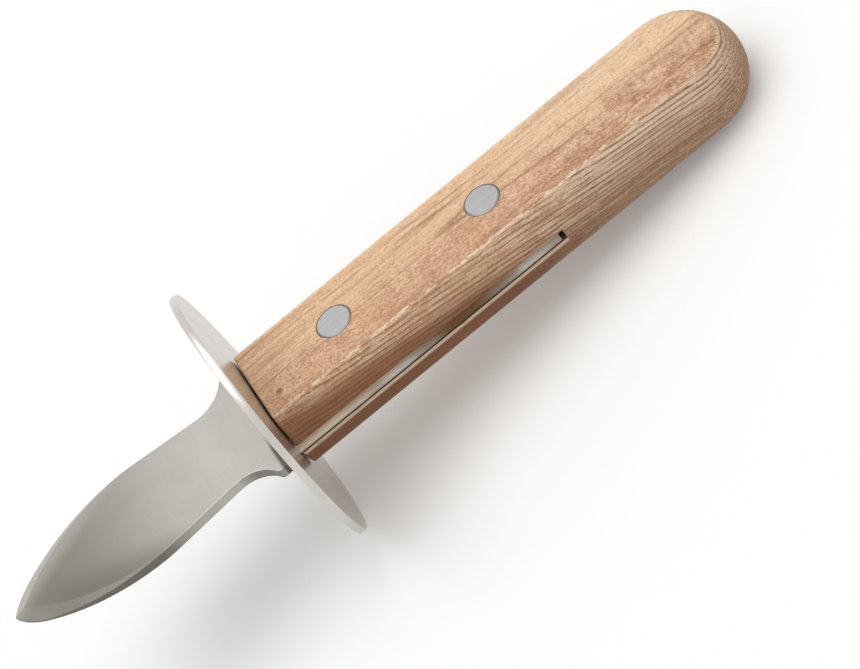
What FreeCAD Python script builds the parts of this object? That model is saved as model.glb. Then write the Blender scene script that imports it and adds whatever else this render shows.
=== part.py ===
import FreeCAD
import Part
import Sketcher
import math
import os
from FreeCAD import Vector

# Oyster knife, in millimetres: a short leaf-shaped blade, a round hand guard and a one-piece wooden handle
# that is sawn open for the tang and held by two cutlery rivets.
# X runs along the knife from the blade's tip to the butt, Y across the blade, Z square to the blade's flats.
# The origin is the middle of the whole length, on the centre line. Bodies are drawn with X = 0 at the front
# face of the guard, where the blade's shoulders stop, and each body's placement then moves it back.

sizes = [
    ("blade_length", 57.0, "front face of the guard to the tip"),
    ("blade_width", 23.3, "across the belly, the widest place"),
    ("blade_thickness", 2.0, "between the flats"),
    ("widest_distance", 29.7, "front face of the guard to the widest place"),
    ("tip_fullness", 2.1, "how far past the tip the long curve of each edge would meet the centre line"),
    ("tip_flank_radius", 14.0, "tighter curve of each edge beside the tip"),
    ("tip_radius", 0.6, "blunted tip"),
    ("neck_distance", 10.2, "front face of the guard to the narrowest place"),
    ("neck_width", 19.6, "across the narrowest place"),
    ("neck_radius", 7.4, "hollow curve from the neck out to the shoulder"),
    ("shoulder_width", 28.8, "across the shoulders against the guard"),
    ("shoulder_radius", 0.9, "rounded corner of the shoulder"),
    ("bevel_distance", 26.0, "front face of the guard to the root of the ground bevel"),
    ("bevel_tip_length", 2.2, "ridge of the bevel along the centre line behind the tip"),
    ("bevel_reach", 2.5, "depth of the bevel across the blade"),
    ("edge_land", 0.2, "thickness left at the full reach of the bevel"),
    ("tang_length", 60.0, "front face of the guard to the end of the tang"),
    ("tang_thickness", 1.9, "between the flats of the tang"),
    ("tang_setback", 0.08, "edge of the tang below the side of the handle"),
    ("guard_diameter", 53.5, "round hand guard"),
    ("guard_thickness", 1.4, "plate of the guard"),
    ("guard_rim_crown", 0.16, "rise of the rounded rim between the faces"),
    ("slot_clearance", 0.1, "all round the tang in the guard"),
    ("guard_gap", 0.35, "open line between the guard and the handle"),
    ("handle_length", 105.0, "front end to the round of the butt"),
    ("handle_width", 24.6, "across the bowed sides"),
    ("handle_thickness", 14.4, "between the flat top and bottom"),
    ("side_bow", 2.8, "how far each side bulges past its top and bottom edges"),
    ("crease_radius", 1.1, "worn long edges between the flats and the sides"),
    ("butt_crease_radius", 2.8, "the same edges round the butt, which is sanded softer"),
    ("crease_fade", 14.0, "length in front of the butt over which the edges soften"),
    ("base_chamfer", 0.3, "broken edge round the front end"),
    ("kerf_clearance", 0.35, "open line under the tang in the saw cut"),
    ("kerf_end_gap", 0.9, "saw cut past the end of the tang"),
    ("rivet_inset", 18.4, "front end of the handle to the first rivet"),
    ("rivet_spacing", 33.45, "between the rivets"),
    ("head_diameter", 7.0, "rivet head"),
    ("head_rim", 1.2, "straight side of the head, sunk in the wood"),
    ("head_rise", 0.12, "flat face of the head above the wood"),
    ("head_chamfer", 0.3, "broken edge of the head, across its face"),
    ("head_clearance", 0.1, "round the head in its seat"),
    ("post_diameter", 2.8, "solid stem of the rivet"),
    ("post_clearance", 0.03, "round the stem in the sleeve"),
    ("post_end_gap", 0.4, "end of the stem to the floor of the sleeve"),
    ("sleeve_diameter", 4.2, "outside of the hollow stem"),
    ("sleeve_end_gap", 0.2, "end of the sleeve to the head above it"),
    ("bore_clearance", 0.1, "round the sleeve in the wood and the tang"),
    ("cut_overrun", 2.0, "how far a cut runs past the stock"),
]

doc = FreeCAD.newDocument("OysterKnife")
sheet = doc.addObject("Spreadsheet::Sheet", "Sizes")
for row, (alias, length, note) in enumerate(sizes, start=1):
    sheet.set(f"A{row}", alias)
    sheet.set(f"B{row}", str(length))
    sheet.setAlias(f"B{row}", alias)
    sheet.set(f"C{row}", note)
doc.recompute()

# Places along X that several bodies share, from the front face of the guard.
handle_start = "(Sizes.guard_thickness + Sizes.guard_gap)"
handle_end = f"({handle_start} + Sizes.handle_length)"
butt_centre = f"({handle_end} - Sizes.handle_width / 2)"
middle = f"(({handle_end} - Sizes.blade_length) / 2)"
rivet_places = {
    "front": f"({handle_start} + Sizes.rivet_inset)",
    "rear": f"({handle_start} + Sizes.rivet_inset + Sizes.rivet_spacing)",
}

# Heights and half widths that several bodies share.
handle_half = "(Sizes.handle_thickness / 2)"
head_seat = f"({handle_half} - Sizes.head_rim)"
tang_half_width = "(Sizes.handle_width / 2 - Sizes.tang_setback)"
tang_half = "(Sizes.tang_thickness / 2)"
sleeve_bore = "(Sizes.sleeve_diameter + 2 * Sizes.bore_clearance)"

# How a sketch numbers the points of an element and its own two axes.
first_point = 1
last_point = first_point + 1
centre_point = last_point + 1
cross_axis = -1
up_axis = cross_axis - 1

quarter_turn = 90
half_turn = 2 * quarter_turn
full_turn = 2 * half_turn


def value(expression):
    return float(sheet.evalExpression(expression))


def point(x, y):
    return Vector(value(x), value(y), 0)


# Radius of the arc that rises this far in half its chord.
def arc_radius(half_chord, rise):
    return f"((({half_chord}) ^ 2 + ({rise}) ^ 2) / (2 * ({rise})))"


# Direction from one point to another, in degrees from the cross axis.
def heading(start, finish):
    return math.degrees(math.atan2(finish.y - start.y, finish.x - start.x)) % full_turn


def beside(centre, reach, angle):
    turned = math.radians(angle)
    return centre + Vector(math.cos(turned), math.sin(turned), 0) * reach


# Where two circles cross, to the right of the way from the first centre to the second.
def crossing(first, first_radius, second, second_radius):
    gap = first.distanceToPoint(second)
    share = (first_radius ** 2 - second_radius ** 2 + gap ** 2) / (2 * first_radius * gap)
    return beside(first, first_radius, heading(first, second) - math.degrees(math.acos(share)))


def arc(centre, radius, first_turn, last_turn):
    circle = Part.Circle(centre, Vector(0, 0, 1), radius)
    return Part.ArcOfCircle(circle, math.radians(first_turn), math.radians(last_turn))


def new_body(name, place="0"):
    body = doc.addObject("PartDesign::Body", name)
    body.Label = name
    body.setExpression("Placement.Base.x", f"{place} - {middle}")
    return body


def origin_part(body, role):
    return next(part for part in body.Origin.OriginFeatures if part.Role == role)


def new_sketch(body, name, plane, **offsets):
    sketch = body.newObject("Sketcher::SketchObject", name)
    sketch.AttachmentSupport = [(origin_part(body, plane), "")]
    sketch.MapMode = "FlatFace"
    for direction, expression in offsets.items():
        sketch.setExpression(f"AttachmentOffset.Base.{direction}", expression)
    return sketch


def drive(sketch, kind, where, expression):
    number = sketch.addConstraint(Sketcher.Constraint(kind, *where, value(expression)))
    sketch.setExpression(f"Constraints[{number}]", expression)


# Ties one point of a sketch to its distances from the sketch's two axes.
def pin(sketch, element, end, x, y):
    for kind, expression, axis in (("DistanceX", x, up_axis), ("DistanceY", y, cross_axis)):
        if value(expression) == 0:
            sketch.addConstraint(Sketcher.Constraint("PointOnObject", element, end, axis))
        elif value(expression) > 0:
            drive(sketch, kind, (cross_axis, first_point, element, end), expression)
        else:
            drive(sketch, kind, (element, end, cross_axis, first_point), f"-({expression})")


# Ends that meet in one smooth curve.
def smooth(sketch, element, end, other, other_end):
    sketch.addConstraint(Sketcher.Constraint("Tangent", element, end, other, other_end))


def meet(sketch, element, end, other, other_end):
    sketch.addConstraint(Sketcher.Constraint("Coincident", element, end, other, other_end))


# Closed outline through the given corners. The edges numbered in domed are arcs centred on the upright axis.
def outline(sketch, corners, domed=()):
    points = [point(x, y) for x, y in corners]
    edges = []
    for number, start in enumerate(points):
        finish = points[(number + 1) % len(points)]
        if number in domed:
            rise = (finish.Length ** 2 - start.Length ** 2) / (2 * (finish.y - start.y))
            centre = Vector(0, rise, 0)
            turns = [math.degrees(math.atan2(end.y - rise, end.x)) for end in (start, finish)]
            edge = sketch.addGeometry(arc(centre, start.distanceToPoint(centre), *turns))
            sketch.addConstraint(Sketcher.Constraint("PointOnObject", edge, centre_point, up_axis))
        else:
            edge = sketch.addGeometry(Part.LineSegment(start, finish))
        edges.append(edge)
    for number, edge in enumerate(edges):
        meet(sketch, edges[number - 1], last_point, edge, first_point)
        pin(sketch, edge, first_point, *corners[number])


def rectangle(sketch, left, right, low, high):
    outline(sketch, [(left, low), (right, low), (right, high), (left, high)])


def hole(sketch, x, y, diameter):
    circle = Part.Circle(point(x, y), Vector(0, 0, 1), value(diameter) / 2)
    element = sketch.addGeometry(circle)
    drive(sketch, "Diameter", (element,), diameter)
    pin(sketch, element, centre_point, x, y)


def pad(body, name, sketch, length, both_ways=False):
    feature = body.newObject("PartDesign::Pad", name)
    feature.Profile = sketch
    feature.setExpression("Length", length)
    if both_ways:
        feature.SideType = "Symmetric"
    return feature


def cut_through(body, name, sketch):
    feature = body.newObject("PartDesign::Pocket", name)
    feature.Profile = sketch
    feature.Type = "ThroughAll"
    feature.SideType = "Symmetric"
    return feature


def turn(body, name, kind, sketch, axis, angle, both_ways=False):
    feature = body.newObject(f"PartDesign::{kind}", name)
    feature.Profile = sketch
    feature.ReferenceAxis = (sketch, [axis])
    feature.Angle = angle
    feature.Midplane = both_ways
    return feature


def mirror(body, name, plane, originals):
    feature = body.newObject("PartDesign::Mirrored", name)
    feature.Originals = originals
    feature.MirrorPlane = (origin_part(body, plane), [""])
    body.Tip = feature
    return feature


# Blade: half of its outline is drawn, thickened, ground on both faces and mirrored, and the tang is added.
blade = new_body("blade")
half_leaf = new_sketch(blade, "half_leaf", "XY_Plane")

blade_half = "(Sizes.blade_width / 2)"
belly_radius = arc_radius("Sizes.blade_length + Sizes.tip_fullness - Sizes.widest_distance", blade_half)
bevel_radius = arc_radius("Sizes.blade_length - Sizes.bevel_tip_length - Sizes.bevel_distance", blade_half)
belly_middle = ("-Sizes.widest_distance", f"{blade_half} - {belly_radius}")
neck_middle = ("-Sizes.neck_distance", "Sizes.neck_width / 2 + Sizes.neck_radius")

# Starting shapes that already touch each other; the constraints below then hold them together.
belly_size = value(belly_radius)
flank_size = value("Sizes.tip_flank_radius")
tip_size = value("Sizes.tip_radius")
neck_size = value("Sizes.neck_radius")
shoulder_size = value("Sizes.shoulder_radius")
belly_at = point(*belly_middle)
neck_at = point(*neck_middle)
tip_at = point("Sizes.tip_radius - Sizes.blade_length", "0")
corner_at = point("0", "Sizes.shoulder_width / 2")
flank_at = crossing(belly_at, belly_size - flank_size, tip_at, flank_size - tip_size)
shoulder_drop = neck_at.y - corner_at.y + shoulder_size
shoulder_run = math.sqrt((neck_size + shoulder_size) ** 2 - shoulder_drop ** 2)
shoulder_at = neck_at + Vector(shoulder_run, -shoulder_drop, 0)
taper_lean = math.acos((belly_size + neck_size) / belly_at.distanceToPoint(neck_at))
taper_turn = heading(belly_at, neck_at) + math.degrees(taper_lean)
belly_turn = heading(belly_at, flank_at)
tip_turn = heading(flank_at, tip_at)
belly_start = beside(belly_at, belly_size, taper_turn)
neck_start = beside(neck_at, neck_size, taper_turn + half_turn)
land_start = beside(shoulder_at, shoulder_size, quarter_turn)
tip_end = beside(tip_at, tip_size, half_turn)

tip = half_leaf.addGeometry(arc(tip_at, tip_size, tip_turn, half_turn))
flank = half_leaf.addGeometry(arc(flank_at, flank_size, belly_turn, tip_turn))
belly = half_leaf.addGeometry(arc(belly_at, belly_size, taper_turn, belly_turn))
taper = half_leaf.addGeometry(Part.LineSegment(belly_start, neck_start))
neck = half_leaf.addGeometry(arc(neck_at, neck_size, taper_turn + half_turn, heading(neck_at, shoulder_at)))
shoulder = half_leaf.addGeometry(arc(shoulder_at, shoulder_size, quarter_turn, heading(shoulder_at, neck_at)))
land = half_leaf.addGeometry(Part.LineSegment(land_start, corner_at))
seat = half_leaf.addGeometry(Part.LineSegment(corner_at, Vector(0, 0, 0)))
spine = half_leaf.addGeometry(Part.LineSegment(Vector(0, 0, 0), tip_end))

smooth(half_leaf, flank, last_point, tip, first_point)
smooth(half_leaf, belly, last_point, flank, first_point)
smooth(half_leaf, taper, first_point, belly, first_point)
smooth(half_leaf, taper, last_point, neck, first_point)
smooth(half_leaf, neck, last_point, shoulder, last_point)
smooth(half_leaf, land, first_point, shoulder, first_point)
half_leaf.addConstraint(Sketcher.Constraint("Horizontal", land))
half_leaf.addConstraint(Sketcher.Constraint("PointOnObject", tip, centre_point, cross_axis))
meet(half_leaf, land, last_point, seat, first_point)
meet(half_leaf, seat, last_point, cross_axis, first_point)
meet(half_leaf, spine, first_point, cross_axis, first_point)
meet(half_leaf, spine, last_point, tip, last_point)
drive(half_leaf, "Radius", (tip,), "Sizes.tip_radius")
drive(half_leaf, "Radius", (flank,), "Sizes.tip_flank_radius")
drive(half_leaf, "Radius", (belly,), belly_radius)
drive(half_leaf, "Radius", (neck,), "Sizes.neck_radius")
drive(half_leaf, "Radius", (shoulder,), "Sizes.shoulder_radius")
pin(half_leaf, tip, last_point, "-Sizes.blade_length", "0")
pin(half_leaf, belly, centre_point, *belly_middle)
pin(half_leaf, neck, centre_point, *neck_middle)
pin(half_leaf, land, last_point, "0", "Sizes.shoulder_width / 2")
leaf = pad(blade, "leaf", half_leaf, "Sizes.blade_thickness", both_ways=True)

# The bevel is swept on an arc that leaves the edge near the widest place and runs inside it to the tip.
bevel_offset = f"{blade_half} - {bevel_radius}"
bevel = new_sketch(blade, "bevel", "YZ_Plane", x=bevel_offset, z="-Sizes.bevel_distance")
bevel_finish = f"{bevel_radius} + Sizes.bevel_reach"
for face in ("", "-"):
    flat_height = f"{face}Sizes.blade_thickness / 2"
    land_height = f"{face}Sizes.edge_land / 2"
    clear_height = f"{face}(Sizes.blade_thickness / 2 + Sizes.cut_overrun)"
    outline(
        bevel,
        [
            (bevel_radius, flat_height),
            (bevel_finish, land_height),
            (bevel_finish, clear_height),
            (bevel_radius, clear_height),
        ],
    )
grind = turn(blade, "grind", "Groove", bevel, "V_Axis", quarter_turn)
mirror(blade, "both_halves", "XZ_Plane", [leaf, grind])

tang_outline = new_sketch(blade, "tang_outline", "XY_Plane")
rectangle(tang_outline, "0", "Sizes.tang_length", f"-{tang_half_width}", tang_half_width)
for place in rivet_places.values():
    hole(tang_outline, place, "0", sleeve_bore)
pad(blade, "tang", tang_outline, "Sizes.tang_thickness", both_ways=True)

# Guard: a round plate with a crowned rim and a slot that lets the tang through but stops the shoulders.
guard = new_body("hand_guard")
plate_half = "Sizes.guard_thickness / 2"
rim_radius = "Sizes.guard_diameter / 2"
face_radius = f"{rim_radius} - Sizes.guard_rim_crown"
plate_profile = new_sketch(guard, "plate_profile", "XY_Plane", x=plate_half)
plate_corners = [
    (f"-{plate_half}", "0"),
    (plate_half, "0"),
    (plate_half, face_radius),
    ("0", rim_radius),
    (f"-{plate_half}", face_radius),
]
outline(plate_profile, plate_corners, domed=(2, 3))
turn(guard, "plate", "Revolution", plate_profile, "H_Axis", full_turn)
tang_slot = new_sketch(guard, "tang_slot", "YZ_Plane")
slot_side = f"({tang_half_width} + Sizes.slot_clearance)"
slot_height = f"({tang_half} + Sizes.slot_clearance)"
rectangle(tang_slot, f"-{slot_side}", slot_side, f"-{slot_height}", slot_height)
cut_through(guard, "slot", tang_slot)

# Handle: flat top and bottom, bowed sides and a full round at the butt, where the long edges are softer.
handle = new_body("handle")
bow_radius = arc_radius(handle_half, "Sizes.side_bow")
bow_turn = 42


# Where a flat would start to round into a crease of this radius, as a start for the constraints.
def flat_corner(crease):
    return point(f"Sizes.handle_width / 2 - Sizes.side_bow - {crease}", handle_half)


# One bowed side between two worn creases, running from its first flat to the other; side is 1 or -1 along
# the sketch's cross axis. Returns the two creases, whose free ends meet the flats.
def bowed_side(sketch, side, crease):
    facing = 0 if side > 0 else half_turn
    crease_at = (flat_corner(crease) - point("0", crease)) * side
    other_at = Vector(crease_at.x, -crease_at.y, 0)
    bow_at = point(f"Sizes.handle_width / 2 - {bow_radius}", "0") * side
    apex_at = point("Sizes.handle_width / 2", "0") * side
    crease_size = value(crease)
    first = sketch.addGeometry(arc(other_at, crease_size, facing - quarter_turn, facing - bow_turn))
    bow = sketch.addGeometry(arc(bow_at, value(bow_radius), facing - bow_turn, facing + bow_turn))
    second = sketch.addGeometry(arc(crease_at, crease_size, facing + bow_turn, facing + quarter_turn))
    apex = sketch.addGeometry(Part.Point(apex_at), True)
    smooth(sketch, first, last_point, bow, first_point)
    smooth(sketch, bow, last_point, second, first_point)
    drive(sketch, "Radius", (first,), crease)
    drive(sketch, "Radius", (second,), crease)
    drive(sketch, "Radius", (bow,), bow_radius)
    pin(sketch, apex, first_point, f"{side} * Sizes.handle_width / 2", "0")
    sketch.addConstraint(Sketcher.Constraint("PointOnObject", apex, first_point, bow))
    sketch.addConstraint(Sketcher.Constraint("PointOnObject", bow, centre_point, cross_axis))
    return first, second


# A flat between two ends that are already drawn, at the given height and smooth with the creases it meets.
def flat(sketch, start, finish, height):
    line = sketch.addGeometry(Part.LineSegment(start, finish))
    sketch.addConstraint(Sketcher.Constraint("Horizontal", line))
    if value(height) > 0:
        drive(sketch, "DistanceY", (cross_axis, first_point, line, first_point), height)
    else:
        drive(sketch, "DistanceY", (line, first_point, cross_axis, first_point), f"-{height}")
    return line


# The whole outline of the handle, cut across at one place along it.
def section(name, place, crease):
    sketch = new_sketch(handle, name, "YZ_Plane", z=place)
    right_low, right_high = bowed_side(sketch, 1, crease)
    left_high, left_low = bowed_side(sketch, -1, crease)
    corner = flat_corner(crease)
    top = flat(sketch, corner, Vector(-corner.x, corner.y, 0), handle_half)
    bottom = flat(sketch, -corner, Vector(corner.x, -corner.y, 0), f"-{handle_half}")
    smooth(sketch, top, first_point, right_high, last_point)
    smooth(sketch, top, last_point, left_high, first_point)
    smooth(sketch, bottom, first_point, left_low, last_point)
    smooth(sketch, bottom, last_point, right_low, first_point)
    return sketch


fade_start = f"({butt_centre} - Sizes.crease_fade)"
front_section = section("front_section", handle_start, "Sizes.crease_radius")
pad(handle, "shaft", front_section, f"{fade_start} - {handle_start}")
fade = handle.newObject("PartDesign::AdditiveLoft", "fade")
fade.Profile = section("fade_section", fade_start, "Sizes.crease_radius")
fade.Sections = [section("butt_section", butt_centre, "Sizes.butt_crease_radius")]
fade.Ruled = True

half_section = new_sketch(handle, "half_section", "XZ_Plane", x=butt_centre)
butt_low, butt_high = bowed_side(half_section, 1, "Sizes.butt_crease_radius")
corner = flat_corner("Sizes.butt_crease_radius")
butt_top = flat(half_section, corner, Vector(0, corner.y, 0), handle_half)
butt_bottom = flat(half_section, Vector(0, -corner.y, 0), Vector(corner.x, -corner.y, 0), f"-{handle_half}")
butt_axis = half_section.addGeometry(Part.LineSegment(Vector(0, corner.y, 0), Vector(0, -corner.y, 0)))
smooth(half_section, butt_top, first_point, butt_high, last_point)
smooth(half_section, butt_bottom, last_point, butt_low, first_point)
meet(half_section, butt_top, last_point, butt_axis, first_point)
meet(half_section, butt_axis, last_point, butt_bottom, first_point)
half_section.addConstraint(Sketcher.Constraint("PointOnObject", butt_axis, first_point, up_axis))
half_section.addConstraint(Sketcher.Constraint("PointOnObject", butt_axis, last_point, up_axis))
butt = turn(handle, "butt", "Revolution", half_section, "V_Axis", half_turn, both_ways=True)
doc.recompute()

# The front end is the face that lies furthest forward; its edge is broken all round before it is sawn.
front_face = min(range(len(butt.Shape.Faces)), key=lambda number: butt.Shape.Faces[number].CenterOfMass.x)
broken_edge = handle.newObject("PartDesign::Chamfer", "broken_edge")
broken_edge.Base = (butt, [f"Face{front_face + 1}"])
broken_edge.setExpression("Size", "Sizes.base_chamfer")

# The tang lies against the upper wall of the saw cut, with an open line under it and past its end.
saw_cut = new_sketch(handle, "saw_cut", "XZ_Plane")
kerf_floor = f"(-{tang_half} - Sizes.kerf_clearance)"
kerf_end = "(Sizes.tang_length + Sizes.kerf_end_gap)"
rectangle(saw_cut, f"({handle_start} - Sizes.cut_overrun)", kerf_end, kerf_floor, tang_half)
cut_through(handle, "kerf", saw_cut)

bores = new_sketch(handle, "bores", "XY_Plane")
seats = new_sketch(handle, "seats", "XY_Plane", z=head_seat)
for place in rivet_places.values():
    hole(bores, place, "0", sleeve_bore)
    hole(seats, place, "0", "(Sizes.head_diameter + 2 * Sizes.head_clearance)")
cut_through(handle, "rivet_bores", bores)
upper_seats = handle.newObject("PartDesign::Pocket", "upper_seats")
upper_seats.Profile = seats
upper_seats.Reversed = True
upper_seats.setExpression("Length", "Sizes.head_rim + Sizes.cut_overrun")
mirror(handle, "lower_seats", "XY_Plane", [upper_seats])

# Rivets: a solid post with the upper head is pressed into a hollow sleeve with the lower head.
head_radius = "Sizes.head_diameter / 2"
post_radius = "Sizes.post_diameter / 2"
post_end = f"-{head_seat} + Sizes.post_end_gap"
head_face = f"({handle_half} + Sizes.head_rise)"
head_face_radius = f"({head_radius} - Sizes.head_chamfer)"
sleeve_radius = "Sizes.sleeve_diameter / 2"
sleeve_hole = "Sizes.post_diameter / 2 + Sizes.post_clearance"
sleeve_end = f"{head_seat} - Sizes.sleeve_end_gap"
post_corners = [
    ("0", post_end),
    (post_radius, post_end),
    (post_radius, head_seat),
    (head_radius, head_seat),
    (head_radius, handle_half),
    (head_face_radius, head_face),
    ("0", head_face),
]
sleeve_corners = [
    ("0", f"-{head_face}"),
    (head_face_radius, f"-{head_face}"),
    (head_radius, f"-{handle_half}"),
    (head_radius, f"-{head_seat}"),
    (sleeve_radius, f"-{head_seat}"),
    (sleeve_radius, sleeve_end),
    (sleeve_hole, sleeve_end),
    (sleeve_hole, f"-{head_seat}"),
    ("0", f"-{head_seat}"),
]
for end, place in rivet_places.items():
    post = new_body(f"{end}_rivet_post", place)
    post_profile = new_sketch(post, f"{end}_post_profile", "XZ_Plane")
    outline(post_profile, post_corners)
    turn(post, f"{end}_post_turned", "Revolution", post_profile, "V_Axis", full_turn)
    sleeve = new_body(f"{end}_rivet_sleeve", place)
    sleeve_profile = new_sketch(sleeve, f"{end}_sleeve_profile", "XZ_Plane")
    outline(sleeve_profile, sleeve_corners)
    turn(sleeve, f"{end}_sleeve_turned", "Revolution", sleeve_profile, "V_Axis", full_turn)

doc.recompute()
for item in doc.Objects:
    if "Invalid" in item.State or "Error" in item.State:
        raise RuntimeError(f"{item.Label} was not made: {item.State}")
    if item.TypeId == "Sketcher::SketchObject" and not item.FullyConstrained:
        raise RuntimeError(f"{item.Label} is not fully fixed by its sizes")
    if item.TypeId in ("PartDesign::Pocket", "PartDesign::Groove"):
        if item.Shape.Volume >= item.BaseFeature.Shape.Volume:
            raise RuntimeError(f"{item.Label} cuts nothing")

os.makedirs("parts", exist_ok=True)
for body in doc.findObjects("PartDesign::Body"):
    shape = body.Shape
    if shape.isNull() or not shape.isValid() or len(shape.Solids) != 1:
        raise RuntimeError(f"{body.Label} is not one sound solid")
    shape.exportStep(f"parts/{body.Label}.step")
    print(f"{body.Label}: {shape.Volume:.1f} mm3, box {shape.BoundBox}")
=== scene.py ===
import bpy
import math
import numpy as np
from mathutils import Matrix, Vector


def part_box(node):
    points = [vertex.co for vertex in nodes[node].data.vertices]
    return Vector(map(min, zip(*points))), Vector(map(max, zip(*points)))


# Oyster knife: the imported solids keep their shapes, and this script gives them surfaces, light and a view.
# Metres, in the frame's own axes: +X to the butt, Y across the blade, +Z up off the blade's flat.

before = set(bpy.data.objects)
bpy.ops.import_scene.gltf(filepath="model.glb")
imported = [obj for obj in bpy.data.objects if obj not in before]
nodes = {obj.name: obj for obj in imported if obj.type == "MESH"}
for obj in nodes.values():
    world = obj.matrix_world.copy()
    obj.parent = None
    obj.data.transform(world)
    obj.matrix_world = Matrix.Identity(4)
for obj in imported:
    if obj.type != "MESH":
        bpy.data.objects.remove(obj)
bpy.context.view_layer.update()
scene = bpy.context.scene
scene.view_settings.view_transform = "Standard"
mm = 0.001
print("frame loaded:", ", ".join(sorted(nodes)))


# sRGB hex to linear colour with alpha: the standard's curve, straight below its toe.
def linear(hexColour):
    channels = [int(hexColour[i:i + 2], 16) / 255 for i in (1, 3, 5)]
    return tuple(c / 12.92 if c <= 0.04045 else ((c + 0.055) / 1.055) ** 2.4 for c in channels) + (1.0,)


# Adds one node: settings are its own options, inputs are values or the sockets that feed them.
def add(tree, kind, inputs=None, **settings):
    node = tree.nodes.new("ShaderNode" + kind)
    for name, setting in settings.items():
        setattr(node, name, setting)
    for socket, source in (inputs or {}).items():
        if isinstance(source, bpy.types.NodeSocket):
            tree.links.new(source, node.inputs[socket])
        else:
            node.inputs[socket].default_value = source
    return node


# Places of a Mix node's colour sockets, which share their names with its number sockets.
mixFactor, mixFirst, mixSecond, mixResult = 0, 6, 7, 2
# Noise seldom leaves this part of its range.
noiseLow, noiseHigh = 0.3, 0.7


# A new material with its nodes, its shader and the place on the piece, which patterns follow.
def newMaterial(name):
    material = bpy.data.materials.new(name)
    material.use_nodes = True
    tree = material.node_tree
    place = add(tree, "TexCoord").outputs["Object"]
    return material, tree, tree.nodes["Principled BSDF"], place


# Noise drawn out along X: its length there, its width in Y and Z, and its detail.
def drawnNoise(tree, place, length, width, detail):
    drawn = add(tree, "Mapping", {"Vector": place, "Scale": (1 / length, 1 / width, 1 / width)}).outputs[0]
    return add(tree, "TexNoise", {"Vector": drawn, "Scale": 1.0, "Detail": detail})


# Measures that covers can follow on any piece: its place, the way it faces, and how squarely it faces up or
# down (upness) or to either side (sideways), as 0 to 1.
def surfaceMeasures(tree, place):
    at = add(tree, "SeparateXYZ", {"Vector": place}).outputs
    facing = add(tree, "SeparateXYZ", {"Vector": add(tree, "NewGeometry").outputs["Normal"]}).outputs
    measures = {"x": at["X"], "y": at["Y"], "z": at["Z"], "facingX": facing["X"], "facingY": facing["Y"]}
    for name, axis in (("upness", "Z"), ("sideways", "Y")):
        measures[name] = add(tree, "Math", {0: facing[axis]}, operation="ABSOLUTE").outputs[0]
    return measures


# Turns rows of (measure, where it begins, where it is full, greatest cover) into covers that rise smoothly
# from 0 to the greatest cover.
def coversFrom(tree, measures, rows):
    covers = {}
    for name, (measure, begins, full, most) in rows.items():
        ramp = {"Value": measures[measure], "From Min": begins, "From Max": full, "To Max": most}
        covers[name] = add(tree, "MapRange", ramp, interpolation_type="SMOOTHSTEP").outputs[0]
    return covers


# Lays coats of colour over a tone, one after another. A coat names its colour and the covers to multiply.
def lay(tree, tone, look, covers):
    for colour, *names in look["coats"]:
        share = covers[names[0]]
        for name in names[1:]:
            share = add(tree, "Math", {0: share, 1: covers[name]}, operation="MULTIPLY").outputs[0]
        coated = {mixFactor: share, mixFirst: tone, mixSecond: linear(look[colour])}
        tone = add(tree, "Mix", coated, data_type="RGBA").outputs[mixResult]
    return tone


# Roughness that follows a noise, from the look's smooth to its rough.
def roughen(tree, shader, noise, look):
    spread = add(tree, "MapRange", {"Value": noise, "From Min": noiseLow, "From Max": noiseHigh,
                                    "To Min": look["smooth"], "To Max": look["rough"]}).outputs[0]
    tree.links.new(spread, shader.inputs["Roughness"])


# Finishes a metal: coats over its bright tone, roughness from a noise, and marks as bump; under can give the
# bump a normal to start from.
def finishMetal(tree, shader, look, covers, noise, marks, **under):
    tree.links.new(lay(tree, linear(look["bright"]), look, covers), shader.inputs["Base Color"])
    shader.inputs["Metallic"].default_value = 1.0
    roughen(tree, shader, noise, look)
    bump = add(tree, "Bump", {"Height": marks, "Strength": look["bumpStrength"],
                              "Distance": look["bumpDepth"], **under})
    tree.links.new(bump.outputs[0], shader.inputs["Normal"])


def dress(material, *names):
    for name in names:
        mesh = nodes[name].data
        mesh.materials.clear()
        mesh.materials.append(material)


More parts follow.
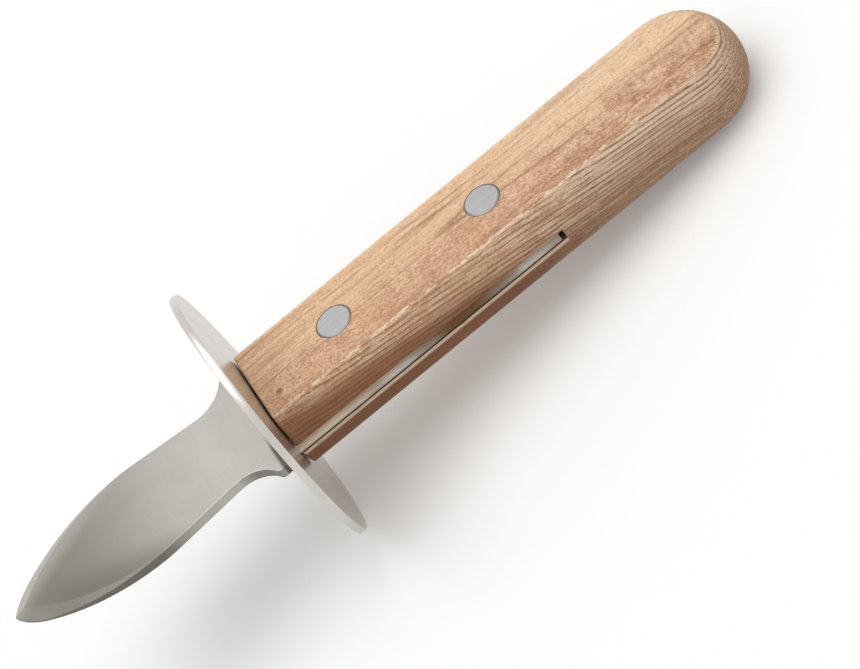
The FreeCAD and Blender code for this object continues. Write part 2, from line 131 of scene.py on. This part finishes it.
# Handle: a pinkish tan tropical hardwood, sawn, sanded and oiled. The eye gets fine lines of growth layers
# that run slantwise down the sides, long wandering lines and flecks on the flats, a mottled figure toward
# the butt, a darker heart below that is partly painted shade, pale chipped edges with a painted highlight
# along the crease, open end grain at the butt and painted shade in the saw cut. Painted light lies high
# on the sides and along the lip below the saw cut, painted shade low on the sides and on that lip.
handleWood = {
    "far": "#eec69d",
    "near": "#e0b690",
    "rosy": "#c68f6d",
    "figure": "#ab744f",
    "line": "#9a6644",       # dark side of a growth layer on a flat; also painted shade low on the sides
    "sideLine": "#865a3b",   # and on a side
    # pale: also painted light high on the sides and a painted highlight along the lip below the saw cut
    "pale": "#f6ddc0",
    "sunny": "#fcdab2",      # middle and far side of the flats, toward the butt
    "wearAndPaintedLight": "#f6dcbf",       # rubbed edges: wear, and a painted highlight on the crease
    "pore": "#6b442b",
    # heartwood colour, made darker as painted shade under the front of the handle
    "heart": "#8f572d",
    "heartLine": "#5c3417",
    "lipHeart": "#854a20",   # heartwood and painted shade below the saw cut
    "endGrain": "#a98162",
    "burnt": "#4c3220",      # painted shade on the walls of the saw cut
    "layer": 0.78 * mm,      # growth layer, across the sides
    "slope": math.radians(-5.2),    # fall of the layers toward the butt
    "bands": 9.0,            # wandering lines on a flat, for the whole range of the band noise
    "darkFrom": 0.45,        # share of a layer where it begins to darken
    "darkest": 0.9,          # and where it is darkest
    "wander": 0.7 * mm,      # how far the fibres leave a straight line
    # noises by length, width, detail: the drift bends the fibres, some lie level and some follow the layers
    "drift": (26 * mm, 8 * mm, 3.5),
    "level": {
        "band": (100 * mm, 6.5 * mm, 1.2),
        "streak": (60 * mm, 2.4 * mm, 3.0),
        "figure": (7 * mm, 4 * mm, 4.0),
        "mark": (1.5 * mm, 3.4 * mm, 2.0),
        "chip": (3.4 * mm, 0.8 * mm, 2.5),
        "flatFade": (46 * mm, 3 * mm, 2.0),
    },
    "sloped": {
        "fade": (22 * mm, 3 * mm, 2.0),
        "blotch": (7 * mm, 2.6 * mm, 3.0),
        "strand": (24 * mm, 0.30 * mm, 3.0),
        "fleck": (0.55 * mm, 0.4 * mm, 3.0),
        "ripple": (0.9 * mm, 2.4 * mm, 2.0),
    },
    "poreLength": 3.2 * mm,  # cell that holds one pore; about twice as coarse as real, to show
    "poreWidth": 0.26 * mm,
    "poreDepth": 0.07 * mm,
    "strandDepth": 0.05 * mm,
    "bumpStrength": 0.8,
    "onFlats": 0.38,         # strength of strands and pores on a flat; on a side it is 1
    "pinKnot": (-19.4 * mm, -5.2 * mm, 7.2 * mm),
    "smooth": 0.52,
    "rough": 0.68,
    "ior": 1.5,
    # covers by measure, where it begins, where it is full, greatest cover
    "covers": {
        "side": ("upness", 0.97, 0.75, 1.0),
        "flat": ("upness", 0.75, 0.97, 1.0),
        "edgeIn": ("upness", 0.74, 0.86, 1.0),
        "edgeOut": ("upness", 0.9995, 0.99, 1.0),
        "edgeLong": ("x", 76 * mm, 50 * mm, 1.0),
        "nearer": ("y", 4 * mm, -8 * mm, 1.0),
        "nearest": ("y", 5 * mm, -4 * mm, 1.0),
        "farther": ("y", 1 * mm, 6 * mm, 0.5),
        "middle": ("y", -9 * mm, -2 * mm, 0.3),
        "rear": ("x", 26 * mm, 52 * mm, 1.0),
        "highSideLight": ("z", 1.5 * mm, 4 * mm, 0.65),
        "lowSideShade": ("z", 3 * mm, 0.0, 0.24),
        "heartAndShadeLow": ("layerHeight", 5.6 * mm, 2.6 * mm, 1.0),
        "heartAndShadeFront": ("x", 46 * mm, 22 * mm, 0.85),
        "lipDeep": ("z", -1.6 * mm, -2.4 * mm, 0.9),
        "lipReach": ("x", 56 * mm, 30 * mm, 1.0),
        "lipHighlightLow": ("z", -2.5 * mm, -1.8 * mm, 1.0),
        "lipHighlightHigh": ("z", -1.2 * mm, -1.3 * mm, 1.0),
        "cutLong": ("x", 36.2 * mm, 36.1 * mm, 1.0),
        "cutLow": ("z", -1.34 * mm, -1.29 * mm, 1.0),
        "cutHigh": ("z", 0.97 * mm, 0.94 * mm, 0.85),
        "butt": ("facingX", 0.45, 1.0, 0.6),
        "knot": ("fromKnot", 0.9 * mm, 0.2 * mm, 0.8),
        "pore": ("fromPore", 0.34, 0.14, 1.0),
        "poreChance": ("poreDraw", 0.45, 0.95, 0.7),
        "streak": ("streak", 0.4, 0.62, 0.3),
        "flatFade": ("flatFade", 0.36, 0.6, 0.85),
        "sideFade": ("fade", 0.2, 0.5, 1.0),
        "heartAndShadeFade": ("fade", 0.36, 0.64, 0.85),
        "blotch": ("blotch", 0.46, 0.66, 0.6),
        "flame": ("blotch", 0.3, 0.55, 0.8),
        "strand": ("strand", 0.5, 0.68, 0.65),
        "paleStrand": ("strand", 0.48, 0.3, 0.75),
        "fleck": ("fleck", 0.5, 0.74, 0.65),
        "paleFleck": ("fleck", 0.48, 0.3, 0.5),
        "darkFleck": ("fleck", 0.5, 0.66, 0.6),
        "ripple": ("ripple", 0.5, 0.68, 0.4),
        "figure": ("figure", 0.5, 0.6, 0.6),
        "mark": ("mark", 0.57, 0.66, 0.65),
        "chip": ("chip", 0.42, 0.56, 0.9),
    },
    # coats from the lowest up: colour, then covers; makeHandleWood adds the lines and strandShare to these
    "coats": (
        ("rosy", "streak"),
        # painted light high on the sides and painted shade low on them, toward the butt
        ("pale", "highSideLight", "side", "rear"),
        ("line", "lowSideShade", "side", "rear"),
        ("rosy", "blotch", "nearer", "flat"),
        ("rosy", "sideLines", "nearer", "flat", "flame"),
        ("sunny", "middle", "rear", "flat"),
        ("figure", "figure", "nearest", "flat", "rear"),
        ("line", "flatLines", "flat", "flatFade"),
        ("sunny", "farther", "rear", "flat"),
        # painted shade on the lip below the saw cut, over heartwood colour
        ("lipHeart", "lipDeep", "lipReach", "side"),
        ("sideLine", "sideLines", "side", "sideFade"),
        ("line", "strand", "strandShare"),
        ("pale", "paleStrand", "strandShare"),
        # pale crease: partly wear, partly a painted highlight
        ("wearAndPaintedLight", "edgeIn", "edgeOut", "edgeLong", "chip"),
        ("rosy", "ripple", "nearer", "flat"),
        ("line", "mark", "nearest", "flat", "rear"),
        ("rosy", "fleck"),
        ("pale", "paleFleck"),
        ("figure", "darkFleck", "nearer", "flat"),
        # darker toward the bottom of the front: partly heartwood colour, partly painted shade
        ("heart", "heartAndShadeLow", "heartAndShadeFront", "side"),
        ("heartLine", "sideLines", "heartAndShadeLow", "heartAndShadeFront", "side", "heartAndShadeFade"),
        ("endGrain", "butt"),
        # painted highlight along the lower lip of the saw cut
        ("pale", "lipHighlightLow", "lipHighlightHigh", "cutLong", "side"),
        ("pore", "pore", "poreChance", "strandShare"),
        ("pore", "knot"),
        # painted shade on the walls of the saw cut
        ("burnt", "cutLong", "cutLow", "cutHigh"),
    ),
}


# Side lines: fraction of (height in the sloped layers, moved by the drift noise) / layer. Flat lines:
# fraction of (band noise * bands). Both darken slowly, then end sharply.
def makeHandleWood(wood):
    material, tree, shader, place = newMaterial("hardwoodSandedOiled")
    drift = drawnNoise(tree, place, *wood["drift"]).outputs["Color"]
    centred = add(tree, "VectorMath", {0: drift, 1: (0.5, 0.5, 0.5)}, operation="SUBTRACT").outputs[0]
    sway = 2 * wood["wander"]    # centred noise reaches half of it to either side
    moved = add(tree, "VectorMath", {0: centred, 1: (0.0, sway, sway)}, operation="MULTIPLY").outputs[0]
    level = add(tree, "VectorMath", {0: place, 1: moved}, operation="ADD").outputs[0]
    sloped = add(tree, "Mapping", {"Vector": level, "Rotation": (0.0, wood["slope"], 0.0)}).outputs[0]

    measures = surfaceMeasures(tree, place)
    for lie, noises in ((level, wood["level"]), (sloped, wood["sloped"])):
        for name, size in noises.items():
            measures[name] = drawnNoise(tree, lie, *size).outputs["Fac"]
    measures["layerHeight"] = add(tree, "SeparateXYZ", {"Vector": sloped}).outputs["Z"]
    knotPlace = {0: place, 1: wood["pinKnot"]}
    measures["fromKnot"] = add(tree, "VectorMath", knotPlace, operation="DISTANCE").outputs["Value"]
    poreCount = (1 / wood["poreLength"], 1 / wood["poreWidth"], 1 / wood["poreWidth"])
    cells = add(tree, "Mapping", {"Vector": sloped, "Scale": poreCount}).outputs[0]
    pores = add(tree, "TexVoronoi", {"Vector": cells, "Scale": 1.0, "Randomness": 1.0}).outputs
    measures["fromPore"] = pores["Distance"]
    measures["poreDraw"] = add(tree, "SeparateColor", {"Color": pores["Color"]}).outputs["Red"]

    covers = coversFrom(tree, measures, wood["covers"])
    for name, measure, count in (("sideLines", "layerHeight", 1 / wood["layer"]),
                                 ("flatLines", "band", wood["bands"])):
        layers = add(tree, "Math", {0: measures[measure], 1: count}, operation="MULTIPLY").outputs[0]
        layer = add(tree, "Math", {0: layers}, operation="FRACT").outputs[0]
        slow = {"Value": layer, "From Min": wood["darkFrom"], "From Max": wood["darkest"]}
        darkens = add(tree, "MapRange", slow, interpolation_type="SMOOTHSTEP").outputs[0]
        sharp = {"Value": layer, "From Min": 1.0, "From Max": wood["darkest"]}
        ends = add(tree, "MapRange", sharp).outputs[0]
        covers[name] = add(tree, "Math", {0: darkens, 1: ends}, operation="MULTIPLY").outputs[0]
    fromFlat = {"Value": covers["side"], "To Min": wood["onFlats"]}
    covers["strandShare"] = add(tree, "MapRange", fromFlat).outputs[0]

    across = {mixFactor: covers["nearer"], mixFirst: linear(wood["far"]), mixSecond: linear(wood["near"])}
    tone = add(tree, "Mix", across, data_type="RGBA").outputs[mixResult]
    tree.links.new(lay(tree, tone, wood, covers), shader.inputs["Base Color"])
    roughen(tree, shader, measures["strand"], wood)
    shader.inputs["IOR"].default_value = wood["ior"]
    hollow = add(tree, "Bump", {"Height": covers["pore"], "Strength": wood["bumpStrength"],
                                "Distance": wood["poreDepth"]}, invert=True).outputs[0]
    surface = add(tree, "Bump", {"Height": measures["strand"], "Strength": wood["bumpStrength"],
                                 "Distance": wood["strandDepth"], "Normal": hollow}, invert=True).outputs[0]
    tree.links.new(surface, shader.inputs["Normal"])
    return material


dress(makeHandleWood(handleWood), "handle")
print("handle wood done")


# Blade: stainless steel, stamped, belt ground and tumbled to a warm satin grey. The eye gets a soft sheen
# with faint lines across the blade and clouding. Painted reflections make the working end duller, darker
# toward its near edge and bevel and brighter toward the far edge and bevel; painted shade lies in the
# hollows of the neck and in the corner against the guard; brown tones along the edges of the tang are
# partly tarnish and partly a painted reflection, deepest half way.
bladeSteel = {
    "bright": "#b9b4ae",
    "dull": "#7b7870",
    "paintedBevel": "#6b6860",     # painted shade on the near bevel and the flat beside it
    "groundFar": "#b8b3aa",  # painted light on the far bevel
    # painted shade for the corner against the guard and the hollows of the neck
    "grime": "#4b4845",
    "oiled": "#d8b88e",      # finishing oil, wiped over the front of the tang with the wood
    # brown tone on the tang's edges: tarnish at random, and a painted reflection on their upper part
    "tarnishAndReflection": "#6e5338",
    # painted brown reflection along the tang's edges
    "brownReflection": "#5f3f18",
    "brownReflectionAt": 13.5 * mm,    # deepest place of the painted brown reflection, along the tang
    "edgeSlope": 0.475,      # run of the edges behind the tip, Y over X
    # noises by length, width, detail
    "line": (0.16 * mm, 14 * mm, 3.0),    # belt lines; real ones are about 0.05 mm, too fine to show
    "cloud": (9 * mm, 9 * mm, 4.0),
    "bumpStrength": 0.5,
    "bumpDepth": 0.004 * mm,
    "softEdge": 0.35 * mm,   # tumbled edges and ridges
    "edgeSamples": 6,
    "smooth": 0.34,
    "rough": 0.46,
    # covers by measure, where it begins, where it is full, greatest cover
    "covers": {
        # painted reflection: darker toward the working end, lighter toward the far edge, darker toward the
        # near edge
        "wearAndPaintedLight": ("x", -34 * mm, -74 * mm, 0.95),
        "farSheen": ("farEdge", 35 * mm, 39.8 * mm, 0.42),
        "nearShade": ("nearEdge", 31 * mm, 40 * mm, 0.7),
        "behindTip": ("x", -80 * mm, -70 * mm, 1.0),
        "cloud": ("cloud", 0.4, 0.65, 0.10),
        "line": ("line", 0.5, 0.72, 0.09),
        "bevel": ("upness", 0.99, 0.96, 1.0),
        "paintedBevel": ("x", -46 * mm, -56 * mm, 0.9),
        "nearSide": ("facingY", 0.02, -0.06, 1.0),
        "farSide": ("facingY", -0.02, 0.06, 1.0),
        "cornerIn": ("x", -27.6 * mm, -26.8 * mm, 0.9),
        "cornerOut": ("x", -23.6 * mm, -24.6 * mm, 1.0),
        "cornerNear": ("y", -4 * mm, -9.5 * mm, 1.0),
        "wall": ("upness", 0.6, 0.3, 1.0),
        "hollowIn": ("x", -36 * mm, -31.5 * mm, 0.6),
        "hollowOut": ("x", -26.5 * mm, -28.5 * mm, 1.0),
        "tang": ("x", -24.6 * mm, -23.6 * mm, 1.0),
        "edge": ("sideways", 0.8, 0.95, 1.0),
        "tangFront": ("x", 2 * mm, -12 * mm, 0.35),
        "tangBack": ("x", -18 * mm, -2 * mm, 1.0),
        "tarnishAndReflection": ("cloud", 0.3, 0.6, 0.45),
        "high": ("z", -0.3 * mm, 0.6 * mm, 0.4),
        "brownReflection": ("fromBrownReflection", 14 * mm, 2 * mm, 0.9),
    },
    # coats from the lowest up: colour, then covers
    "coats": (
        # painted reflection: darker working end, lighter far edge, darker near edge
        ("dull", "wearAndPaintedLight"),
        ("bright", "farSheen"),
        ("paintedBevel", "nearShade", "behindTip"),
        ("dull", "cloud"),
        ("dull", "line"),
        # painted shade on the near bevel and painted light on the far bevel
        ("paintedBevel", "bevel", "paintedBevel", "nearSide", "behindTip"),
        ("groundFar", "bevel", "paintedBevel", "farSide"),
        # painted shade in the corner against the guard and in the hollows of the neck
        ("grime", "cornerIn", "cornerOut", "cornerNear"),
        ("grime", "wall", "hollowIn", "hollowOut"),
        ("oiled", "tang", "edge", "tangFront"),
        ("tarnishAndReflection", "tang", "edge", "tarnishAndReflection", "tangBack"),
        # painted reflection, darker on the upper part of the tang's edges
        ("tarnishAndReflection", "tang", "edge", "high"),
        # painted brown reflection along the tang's edges, deepest half way
        ("brownReflection", "tang", "edge", "brownReflection"),
    ),
}


# Far edge: Y - slope * X, about even along the far edge behind the tip. Near edge: -Y - slope * X.
def makeBladeSteel(steel):
    material, tree, shader, place = newMaterial("stainlessSteelSatin")
    measures = surfaceMeasures(tree, place)
    for name in ("line", "cloud"):
        measures[name] = drawnNoise(tree, place, *steel[name]).outputs["Fac"]
    run = add(tree, "Math", {0: measures["x"], 1: steel["brownReflectionAt"]}, operation="SUBTRACT").outputs[0]
    measures["fromBrownReflection"] = add(tree, "Math", {0: run}, operation="ABSOLUTE").outputs[0]
    fall = {0: measures["x"], 1: -steel["edgeSlope"]}
    behind = add(tree, "Math", fall, operation="MULTIPLY").outputs[0]
    for name, operation in (("farEdge", "ADD"), ("nearEdge", "SUBTRACT")):
        measures[name] = add(tree, "Math", {0: behind, 1: measures["y"]}, operation=operation).outputs[0]
    covers = coversFrom(tree, measures, steel["covers"])
    softEdge = add(tree, "Bevel", {"Radius": steel["softEdge"]}, samples=steel["edgeSamples"]).outputs[0]
    finishMetal(tree, shader, steel, covers, measures["line"], measures["line"], Normal=softEdge)
    return material


dress(makeBladeSteel(bladeSteel), "blade")
print("blade steel done")


# Guard: stainless plate, punched round and polished. The eye gets soft reflections, faint rings from the
# polishing wheel, a little clouding and a bright rim.
guardSteel = {
    "bright": "#cdc8c2",
    "dull": "#c6c1bb",
    # noises by length, width, detail
    "cloud": (11 * mm, 11 * mm, 4.0),
    "ring": (0.22 * mm, 0.22 * mm, 2.0),    # polishing lines, coarser than real so that they show
    "bumpStrength": 0.4,
    "bumpDepth": 0.002 * mm,
    "smooth": 0.26,
    "rough": 0.36,
    "covers": {"cloud": ("cloud", 0.4, 0.7, 1.0)},
    "coats": (("dull", "cloud"),),
}


# Rings: noise of the distance from the guard's axis, the X axis.
def makeGuardSteel(steel):
    material, tree, shader, place = newMaterial("stainlessSteelPolished")
    across = add(tree, "VectorMath", {0: place, 1: (0.0, 1.0, 1.0)}, operation="MULTIPLY").outputs[0]
    reach = add(tree, "VectorMath", {0: across}, operation="LENGTH").outputs["Value"]
    ringPlace = add(tree, "CombineXYZ", {"X": reach}).outputs[0]
    ring = drawnNoise(tree, ringPlace, *steel["ring"]).outputs["Fac"]
    measures = {"cloud": drawnNoise(tree, place, *steel["cloud"]).outputs["Fac"]}
    finishMetal(tree, shader, steel, coversFrom(tree, measures, steel["covers"]), ring, ring)
    return material


dress(makeGuardSteel(guardSteel), "hand_guard")
print("guard steel done")


# Rivets: aluminium, turned and pressed, then sanded flush with the wood. The eye gets a satin grey with faint
# turning rings, a few sanding lines and a dark broken edge, which is painted shade round the head.
rivetAluminium = {
    "bright": "#b0afb0",
    "dull": "#a3a2a3",
    # painted shade on the broken edge round the head
    "oiled": "#77736e",
    # noises by length, width, detail
    "ring": (0.25 * mm, 0.25 * mm, 2.0),    # turning lines, coarser than real so that they show
    "sand": (6 * mm, 0.18 * mm, 3.0),
    "bumpStrength": 0.5,
    "bumpDepth": 0.002 * mm,
    "smooth": 0.36,
    "rough": 0.48,
    # broken: painted shade on the broken edge round the head
    "covers": {"sand": ("sand", 0.4, 0.7, 1.0), "broken": ("upness", 0.995, 0.96, 0.8)},
    "coats": (("dull", "sand"), ("oiled", "broken")),
}


# Rings: noise of the distance from the nearer rivet's axis.
def makeRivetAluminium(metal):
    material, tree, shader, place = newMaterial("aluminiumTurnedSatin")
    flat = add(tree, "VectorMath", {0: place, 1: (1.0, 1.0, 0.0)}, operation="MULTIPLY").outputs[0]
    reaches = []
    for name in ("front_rivet_post", "rear_rivet_post"):
        low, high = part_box(name)
        axis = ((low.x + high.x) / 2, (low.y + high.y) / 2, 0.0)
        reaches.append(add(tree, "VectorMath", {0: flat, 1: axis}, operation="DISTANCE").outputs["Value"])
    reach = add(tree, "Math", {0: reaches[0], 1: reaches[1]}, operation="MINIMUM").outputs[0]
    ringPlace = add(tree, "CombineXYZ", {"X": reach}).outputs[0]
    ring = drawnNoise(tree, ringPlace, *metal["ring"]).outputs["Fac"]
    measures = surfaceMeasures(tree, place)
    measures["sand"] = drawnNoise(tree, place, *metal["sand"]).outputs["Fac"]
    marks = add(tree, "Math", {0: ring, 1: measures["sand"]}, operation="ADD").outputs[0]
    finishMetal(tree, shader, metal, coversFrom(tree, measures, metal["covers"]), ring, marks)
    return material


dress(makeRivetAluminium(rivetAluminium), "front_rivet_post", "front_rivet_sleeve", "rear_rivet_post",
      "rear_rivet_sleeve")
print("rivet aluminium done")


# The eye and clear reflections see the floor and the surround at their shown level; other light sees less.
def shownRays(tree):
    path = add(tree, "LightPath").outputs
    shown = path["Is Camera Ray"]
    for kind in ("Is Glossy Ray", "Is Transmission Ray"):
        shown = add(tree, "Math", {0: shown, 1: path[kind]}, operation="MAXIMUM").outputs[0]
    return shown


# Floor: a plain sheet of matt paper under the resting knife, tilted so that the guard's rim and the butt both
# touch it. The eye gets an even pale ground with a soft shadow, which fades into the white surround.
floorSheet = {
    "colour": "#f6f6f5",
    "bounced": "#b9b7b3",    # colour for the light that it throws back on the knife
    "glowNear": 0.15,        # the sheet's own light, under the knife
    "glowFar": 0.55,         # and far from it
    "fadeFrom": 0.16,
    "fadeTo": 0.5,
    "half": 0.6,
    "roughness": 0.9,
    "specular": 0.1,
    "clearOfRim": 20 * mm,   # front of the handle, which is too near the rim to touch
}


# Slope = least rise over run from the guard's lowest rim to any point of the handle behind it.
def restPlane(clearOfRim):
    low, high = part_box("hand_guard")
    rim = np.array(((low.x + high.x) / 2, low.z))
    mesh = nodes["handle"].data
    spots = np.empty(len(mesh.vertices) * 3, np.float32)
    mesh.vertices.foreach_get("co", spots)
    spots = spots.reshape(-1, 3)
    behind = spots[spots[:, 0] > rim[0] + clearOfRim]
    slope = float(((behind[:, 2] - rim[1]) / (behind[:, 0] - rim[0])).min())
    return rim, slope


# Height = rim height + slope * run from the rim, at the sheet's four corners.
def makeFloor(floor):
    rim, slope = restPlane(floor["clearOfRim"])
    x = np.array((-1, 1, 1, -1)) * floor["half"]
    y = np.array((-1, -1, 1, 1)) * floor["half"]
    spots = np.stack((x, y, rim[1] + slope * (x - rim[0])), -1)
    mesh = bpy.data.meshes.new("floorSheet")
    mesh.from_pydata(spots.tolist(), [], [(0, 1, 2, 3)])
    sheet = bpy.data.objects.new("floorSheet", mesh)
    scene.collection.objects.link(sheet)

    material, tree, shader, place = newMaterial("paperMatt")
    shown = shownRays(tree)
    seen = {mixFactor: shown, mixFirst: linear(floor["bounced"]), mixSecond: linear(floor["colour"])}
    colour = add(tree, "Mix", seen, data_type="RGBA").outputs[mixResult]
    reach = add(tree, "VectorMath", {0: place}, operation="LENGTH").outputs["Value"]
    fade = {"Value": reach, "From Min": floor["fadeFrom"], "From Max": floor["fadeTo"],
            "To Min": floor["glowNear"], "To Max": floor["glowFar"]}
    level = add(tree, "MapRange", fade, interpolation_type="SMOOTHSTEP").outputs[0]
    glow = add(tree, "Math", {0: shown, 1: level}, operation="MULTIPLY").outputs[0]
    tree.links.new(colour, shader.inputs["Base Color"])
    tree.links.new(glow, shader.inputs["Emission Strength"])
    shader.inputs["Emission Color"].default_value = linear(floor["colour"])
    shader.inputs["Roughness"].default_value = floor["roughness"]
    shader.inputs["Specular IOR Level"].default_value = floor["specular"]
    mesh.materials.append(material)
    return slope


print("floor slope: %.4f" % makeFloor(floorSheet))


# Light: one wide lamp nearly overhead and an even white surround, which stays white to the eye and in metal.
studioLight = {
    "keyPlace": (-0.15, 0.06, 0.98),
    "keySize": 1.0,
    "keyPower": 5.3,
    "surround": "#ffffff",
    "surroundShown": 1.0,
    "surroundLight": 0.55,
}


def makeLight(light):
    lamp = bpy.data.lights.new("keyLamp", "AREA")
    lamp.shape = "SQUARE"
    lamp.size = light["keySize"]
    lamp.energy = light["keyPower"]
    key = bpy.data.objects.new("keyLamp", lamp)
    key.location = light["keyPlace"]
    key.rotation_euler = (-Vector(light["keyPlace"])).to_track_quat("-Z", "Y").to_euler()
    scene.collection.objects.link(key)

    world = bpy.data.worlds.new("whiteSurround")
    scene.world = world
    world.use_nodes = True
    tree = world.node_tree
    level = add(tree, "MapRange", {"Value": shownRays(tree), "To Min": light["surroundLight"],
                                   "To Max": light["surroundShown"]}).outputs[0]
    background = tree.nodes["Background"]
    background.inputs["Color"].default_value = linear(light["surround"])
    tree.links.new(level, background.inputs["Strength"])


makeLight(studioLight)
print("light done")


# View: the photograph's, fitted to the knife's edges; the knife lies aslant, so the camera is rolled.
photoView = {
    "aim": (0.00695, -0.0106, 0.0),
    "distance": 0.4416,
    "azimuth": 1.498,        # degrees, as are the next two
    "elevation": 42.743,
    "roll": -40.24,
    "lens": 106.43,          # mm, as is the sensor
    "sensor": 36.0,
    "clipStart": 0.01,
}


# Camera axes: back points from the aim to the camera; right and up are level first, then turned by the roll.
def makeCamera(view):
    azimuth, elevation, roll = (math.radians(view[name]) for name in ("azimuth", "elevation", "roll"))
    back = Vector((math.sin(azimuth) * math.cos(elevation), -math.cos(azimuth) * math.cos(elevation),
                   math.sin(elevation)))
    level = Vector((math.cos(azimuth), math.sin(azimuth), 0.0))
    upright = back.cross(level)
    right = level * math.cos(roll) + upright * math.sin(roll)
    up = back.cross(right)
    lens = bpy.data.cameras.new("photoView")
    lens.lens = view["lens"]
    lens.sensor_width = view["sensor"]
    lens.sensor_fit = "HORIZONTAL"
    lens.clip_start = view["clipStart"]
    camera = bpy.data.objects.new("photoView", lens)
    turn = Matrix((right, up, back)).transposed().to_4x4()
    camera.matrix_world = Matrix.Translation(Vector(view["aim"]) + back * view["distance"]) @ turn
    scene.collection.objects.link(camera)
    scene.camera = camera


makeCamera(photoView)
print("camera done")
